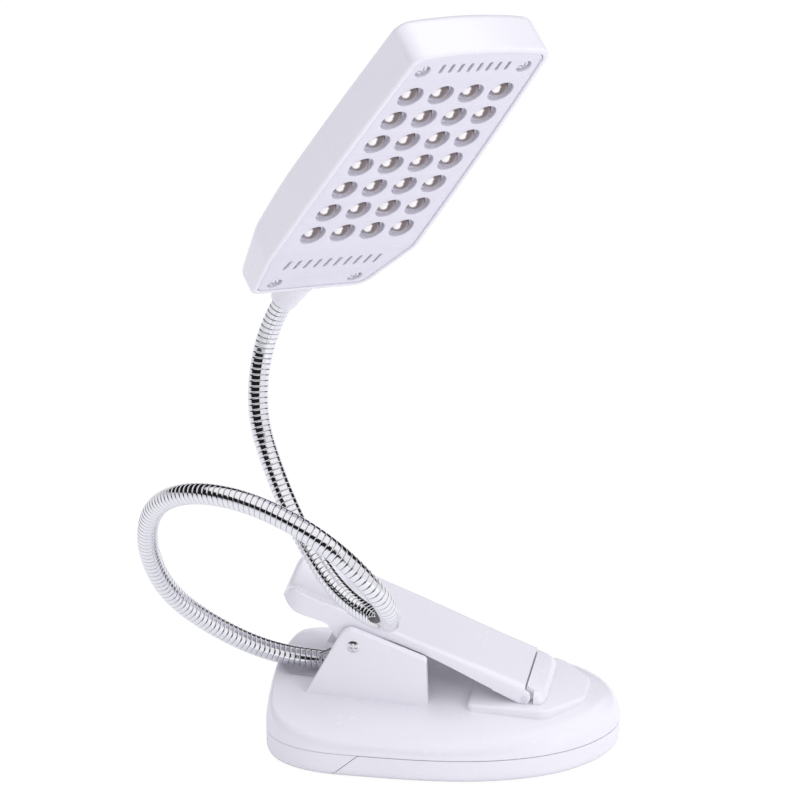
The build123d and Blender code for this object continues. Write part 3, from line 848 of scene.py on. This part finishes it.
def front_panel():
    """The panel as a flat curve with its holes, rounded at every edge and bent at the chin."""
    soft = 0.22
    rings = [head_outline()]
    a = np.linspace(0, 2 * np.pi, 48, endpoint=False)
    circle = np.stack([np.cos(a), np.sin(a)], 1)
    rings += [circle * HOLE_RADIUS + at for at in LED_PLACES]
    rings += [circle * SCREW_HOLE_RADIUS + at for at in PANEL_SCREWS]
    for pitch, count, y, length in VENT_ROWS:
        first = -pitch * (count - 1) / 2
        rings += [slot_ring(first + pitch * k, y, length) for k in range(count)]
    curve = bpy.data.curves.new("panel_line", "CURVE")
    curve.dimensions = "2D"
    curve.fill_mode = "BOTH"
    curve.extrude = PANEL_THICK / 2 - soft
    curve.bevel_depth = soft
    curve.bevel_resolution = 2
    curve.offset = -soft
    for ring in rings:
        new_spline(curve, "POLY", level(ring, 0)).use_cyclic_u = True
    mesh = curve_mesh(curve)
    bm = bmesh.new()
    bm.from_mesh(mesh)
    bmesh.ops.remove_doubles(bm, verts=bm.verts, dist=1e-4)
    everything = bm.verts[:] + bm.edges[:] + bm.faces[:]
    bmesh.ops.bisect_plane(bm, geom=everything, plane_co=(0, CHIN_Y, 0), plane_no=(0, 1, 0))
    bm.to_mesh(mesh)
    bm.free()
    points = np.array([v.co for v in mesh.vertices])
    points[:, 2] += PANEL_THICK / 2
    faces = [list(p.vertices) for p in mesh.polygons]
    bpy.data.meshes.remove(mesh)
    return to_head(chin(points)), faces


def lathe(profile, places, around=32):
    """A profile of (radius, depth) turned about the head's z and repeated at each place."""
    profile = np.array(profile, float)
    a = np.linspace(0, 2 * np.pi, around, endpoint=False)
    circle = np.stack([np.cos(a), np.sin(a)], 1)
    shapes = [loft([level(circle * r + at, z) for r, z in profile]) for at in places]
    points, faces = joined(*shapes)
    return to_head(points), faces


def led_lenses():
    """Round-nosed lenses with a flange: a half sphere on a short barrel."""
    a = np.linspace(0.02, np.pi / 2, 18)
    dome = [(LED_RADIUS * np.sin(t), LED_Z - LED_RADIUS * np.cos(t)) for t in a]
    flange, flange_z, end_z = LED_RADIUS + 0.3, 8.0, 9.0
    barrel = [(LED_RADIUS, flange_z), (flange, flange_z), (flange, end_z)]
    return lathe(dome + barrel, LED_PLACES, 56)


def paint_lens_light(lenses):
    """Writes painted light and shade on each lens, dark on one side and pale on the other, with painted
    highlights.

    With (u, v, w) the place on the lens in radii, the painted light is a soft step of 0.9v - 0.35u - 0.1,
    and a painted highlight is a soft-edged disc of its own size about its direction from the lens's middle.
    """
    points = np.zeros(len(lenses.data.vertices) * 3)
    lenses.data.vertices.foreach_get("co", points)
    local = (points.reshape(-1, 3) / MM - HEAD_CENTRE) @ HEAD_FRAME.T
    u = local[:, 0] - LED_X[np.abs(local[:, :1] - LED_X).argmin(1)]
    v = local[:, 1] - LED_Y[np.abs(local[:, 1:2] - LED_Y).argmin(1)]
    unit = np.stack([u, v, local[:, 2] - LED_Z], 1) / LED_RADIUS
    # painted light on one side of each lens, painted shade on the other
    pale = smooth_step((0.9 * unit[:, 1] - 0.35 * unit[:, 0] - 0.1) / 0.9)
    # painted highlights: soft white spots at fixed places on each lens
    painted_glint = np.zeros(len(unit))
    for towards, size in zip(PAINTED_GLINT_TOWARDS, PAINTED_GLINT_SIZE):
        away = np.linalg.norm(unit - np.array(towards), axis=1)
        painted_glint = np.maximum(painted_glint, smooth_step((size - away) / 0.12 + 0.5))
    for name, value in (("lens_painted_shading", pale), ("lens_painted_glint", painted_glint)):
        shade = lenses.data.attributes.new(name, "FLOAT", "POINT")
        shade.data.foreach_set("value", value.astype(np.float32))


def light_wells():
    """A white well behind each hole, with a thin front floor that the lens stands through."""
    inner, outer, waist = HOLE_RADIUS + 0.02, HOLE_RADIUS + 0.7, LED_RADIUS + 0.1
    floor_z, end_z = 1.5, 6.0
    ring = [(inner, floor_z), (outer, floor_z), (outer, end_z), (waist, end_z)]
    ring += [(waist, end_z - 0.6), (inner, end_z - 1.0), (inner, floor_z)]
    return lathe(ring, LED_PLACES)


def panel_heads():
    """The panel's four screw heads, each sunk in its hole and following the bent chin."""
    heads = []
    for x, y in PANEL_SCREWS:
        depth = CHIN_DROP * max(y - CHIN_Y, 0) + 0.9

        def sunk(points, x=x, y=y, depth=depth):
            return to_head(np.stack([points[:, 0] + x, points[:, 1] + y, depth - points[:, 2]], 1))

        heads.append(cross_head(PANEL_HEAD_RADIUS, 0.75, 0.45, sunk))
    return joined(*heads)


def neck():
    """The tapered collar where the arm enters the head."""
    low, high = COLLAR
    profile = [(3.0, high), (3.35, high), (3.75, high - 0.35), (3.95, high - 1.2)]
    profile += [(4.3, high - 5.0), (4.75, low + 0.8), (4.9, low - 0.6), (3.4, low - 1.0)]
    a = np.linspace(0, 2 * np.pi, 48, endpoint=False)
    circle = np.stack([np.cos(a), np.sin(a)], 1)
    points, faces = loft([upright(circle * r + (0, HOSE_DEPTH), y) for r, y in profile])
    return to_head(points), faces


# ------------------------------------------------------------------ the pieces


def make_base():
    piece("base_top", base_top(), WHITE, "base", ["base_upper_shell"])
    piece("base_ears", ears(), WHITE, "base")
    piece("hose_block", hose_block(), WHITE, "base")
    piece("jaw_pad", pad(), PAD_WHITE, "base", ["lower_jaw_pad"])
    piece("pivot_heads", pivot(), BRIGHT_STEEL, "base", ["pivot_pin"])


def make_clip():
    piece("lever_plate", lever(), WHITE, "clip_lever", ["clip_lever"], 50)
    piece("lever_lugs", lever_arms(), WHITE, "clip_lever")
    piece("foot_nose", foot(), WHITE, "jaw_foot", ["jaw_foot"])


def make_head():
    piece("head_shell", head_shell(), WHITE, "head", ["head_back_shell"], 45)
    piece("led_panel", front_panel(), PANEL, "head", ["head_front_panel"], 30)
    piece("light_wells", light_wells(), PANEL, "head")
    lenses = piece("led_lenses", led_lenses(), LENS, "head", ["leds"])
    paint_lens_light(lenses)
    piece("arm_neck", neck(), WHITE, "head", ["head_collar"])
    piece("screw_heads", panel_heads(), BRIGHT_STEEL, "head", ["panel_screws"])


def dress_nodes():
    """Materials of the CAD nodes that are shown as they are."""
    finish = {
        WHITE: ["base_rear_cover", "battery_door", "switch_button"],
        STEEL: ["case_screws", "hose_ferrule", "torsion_spring", "contact_springs"],
        BRIGHT_STEEL: ["jaw_pin"],
        CONTACT: ["contact_plates"],
        WRAP: ["batteries"],
        BLACK: ["battery_tray", "switch_body", "board_resistors"],
        BOARD: ["switch_board", "led_board"],
        SLEEVE: ["base_lead", "head_lead"] + ["arm_lead_" + n for n in ARM_NODES],
    }
    for made, names in finish.items():
        for name in names:
            nodes[name].data.materials.clear()
            nodes[name].data.materials.append(made)


make_base()
make_clip()
make_head()
make_arm()
dress_nodes()


# ------------------------------------------------------------------ stage, light and camera


def make_stage():
    """A pale floor: lit paper that glows a little, so that only a faint contact shadow shows."""
    pale, tree, shader = material("floor_paper")
    tint(tree, noise(tree, 3.0), (0.93, 0.93, 0.935), (0.95, 0.95, 0.955), shader)
    shader.inputs["Roughness"].default_value = 0.9
    shader.inputs["Specular IOR Level"].default_value = 0.1
    glow = tree.nodes.new("ShaderNodeEmission")
    glow.inputs["Strength"].default_value = 1.04
    path = tree.nodes.new("ShaderNodeLightPath")
    share = tree.nodes.new("ShaderNodeMath")
    share.operation = "MULTIPLY"
    share.inputs[1].default_value = 0.9
    mix = tree.nodes.new("ShaderNodeMixShader")
    tree.links.new(path.outputs["Is Camera Ray"], share.inputs[0])
    tree.links.new(share.outputs["Value"], mix.inputs[0])
    tree.links.new(shader.outputs["BSDF"], mix.inputs[1])
    tree.links.new(glow.outputs["Emission"], mix.inputs[2])
    tree.links.new(mix.outputs["Shader"], tree.nodes["Material Output"].inputs["Surface"])
    size = 1.6
    mesh = bpy.data.meshes.new("floor")
    square = [(-size, -size, 0), (size, -size, 0), (size, size, 0), (-size, size, 0)]
    mesh.from_pydata(square, [], [(0, 1, 2, 3)])
    mesh.materials.append(pale)
    obj = bpy.data.objects.new("floor", mesh)
    bpy.context.scene.collection.objects.link(obj)


def area_light(name, place, target, size, power):
    """A white soft box that looks at a point and isn't mirrored in gloss."""
    data = bpy.data.lights.new(name, "AREA")
    data.shape = "RECTANGLE"
    data.size, data.size_y = size
    data.energy = power
    obj = bpy.data.objects.new(name, data)
    obj.location = place
    obj.rotation_euler = (Vector(target) - Vector(place)).to_track_quat("-Z", "Y").to_euler()
    obj.visible_glossy = False
    bpy.context.scene.collection.objects.link(obj)


def colour_ramp(tree, factor, stops):
    """Colours blended between (position, colour) stops."""
    node = tree.nodes.new("ShaderNodeValToRGB")
    elements = node.color_ramp.elements
    for element, (position, colour) in zip(elements, (stops[0], stops[-1])):
        element.position = position
        element.color = (*colour, 1)
    for position, colour in stops[1:-1]:
        elements.new(position).color = (*colour, 1)
    tree.links.new(factor, node.inputs["Fac"])
    return node.outputs["Color"]


def mirrored_room(tree):
    """Colours that gloss mirrors: a dark wall above a grey floor, a white ceiling and right side."""
    place = tree.nodes.new("ShaderNodeTexCoord")
    split = tree.nodes.new("ShaderNodeSeparateXYZ")
    half = tree.nodes.new("ShaderNodeMapRange")
    half.inputs["From Min"].default_value = -1.0
    tree.links.new(place.outputs["Generated"], split.inputs["Vector"])
    tree.links.new(split.outputs["Z"], half.inputs["Value"])
    grey, dark, white = (0.70, 0.70, 0.74), (0.01, 0.01, 0.012), (1.0, 1.0, 1.0)
    stops = [(0.52, grey), (0.55, dark), (0.79, dark), (0.83, white)]
    wall = colour_ramp(tree, half.outputs["Result"], stops)
    towards = tree.nodes.new("ShaderNodeVectorMath")
    towards.operation = "DOT_PRODUCT"
    towards.inputs[1].default_value = (0.95, -0.3, 0.0)
    tree.links.new(place.outputs["Generated"], towards.inputs[0])
    side = colour_ramp(tree, towards.outputs["Value"], [(0.62, (0.0, 0.0, 0.0)), (0.72, (0.9, 0.9, 0.92))])
    mix, (share, first, second, result) = colour_mix(tree)
    mix.blend_type = "LIGHTEN"
    share.default_value = 1.0
    tree.links.new(wall, first)
    tree.links.new(side, second)
    return result


def make_light():
    """Even white surroundings, a room that only gloss mirrors, and two soft boxes."""
    world = bpy.data.worlds.new("studio")
    bpy.context.scene.world = world
    world.use_nodes = True
    tree = world.node_tree
    soft = tree.nodes["Background"]
    soft.inputs["Color"].default_value = (0.95, 0.95, 1.0, 1)
    soft.inputs["Strength"].default_value = 0.85
    seen = tree.nodes.new("ShaderNodeBackground")
    seen.inputs["Color"].default_value = (1, 1, 1, 1)
    mirrored = tree.nodes.new("ShaderNodeBackground")
    tree.links.new(mirrored_room(tree), mirrored.inputs["Color"])
    path = tree.nodes.new("ShaderNodeLightPath")
    glossy = tree.nodes.new("ShaderNodeMixShader")
    camera = tree.nodes.new("ShaderNodeMixShader")
    tree.links.new(path.outputs["Is Glossy Ray"], glossy.inputs[0])
    tree.links.new(soft.outputs["Background"], glossy.inputs[1])
    tree.links.new(mirrored.outputs["Background"], glossy.inputs[2])
    tree.links.new(path.outputs["Is Camera Ray"], camera.inputs[0])
    tree.links.new(glossy.outputs["Shader"], camera.inputs[1])
    tree.links.new(seen.outputs["Background"], camera.inputs[2])
    tree.links.new(camera.outputs["Shader"], tree.nodes["World Output"].inputs["Surface"])
    area_light("overhead", (0.25, 0.1, 0.95), (0, 0, 0.08), (0.8, 0.7), 2.3)
    area_light("right_box", (0.85, -0.55, 0.35), (0, 0, 0.06), (0.4, 0.6), 2.1)


def make_camera():
    """A long lens, a little to the right of the front and above."""
    azimuth, elevation, distance = np.radians(10.4), np.radians(25.8), 1.160
    aim = Vector((-0.0127, -0.0046, 0.1062))
    level_part = np.cos(elevation)
    back = Vector((np.sin(azimuth) * level_part, -np.cos(azimuth) * level_part, np.sin(elevation)))
    data = bpy.data.cameras.new("camera")
    data.lens = 189
    data.sensor_width = 36
    data.clip_start = 0.05
    obj = bpy.data.objects.new("camera", data)
    obj.location = aim + back * distance
    obj.rotation_euler = back.to_track_quat("Z", "Y").to_euler()
    bpy.context.scene.collection.objects.link(obj)
    bpy.context.scene.camera = obj


make_stage()
make_light()
make_camera()
bpy.context.scene.view_settings.view_transform = "Standard"


def corners(box):
    return [list(map(float, corner)) for corner in box]
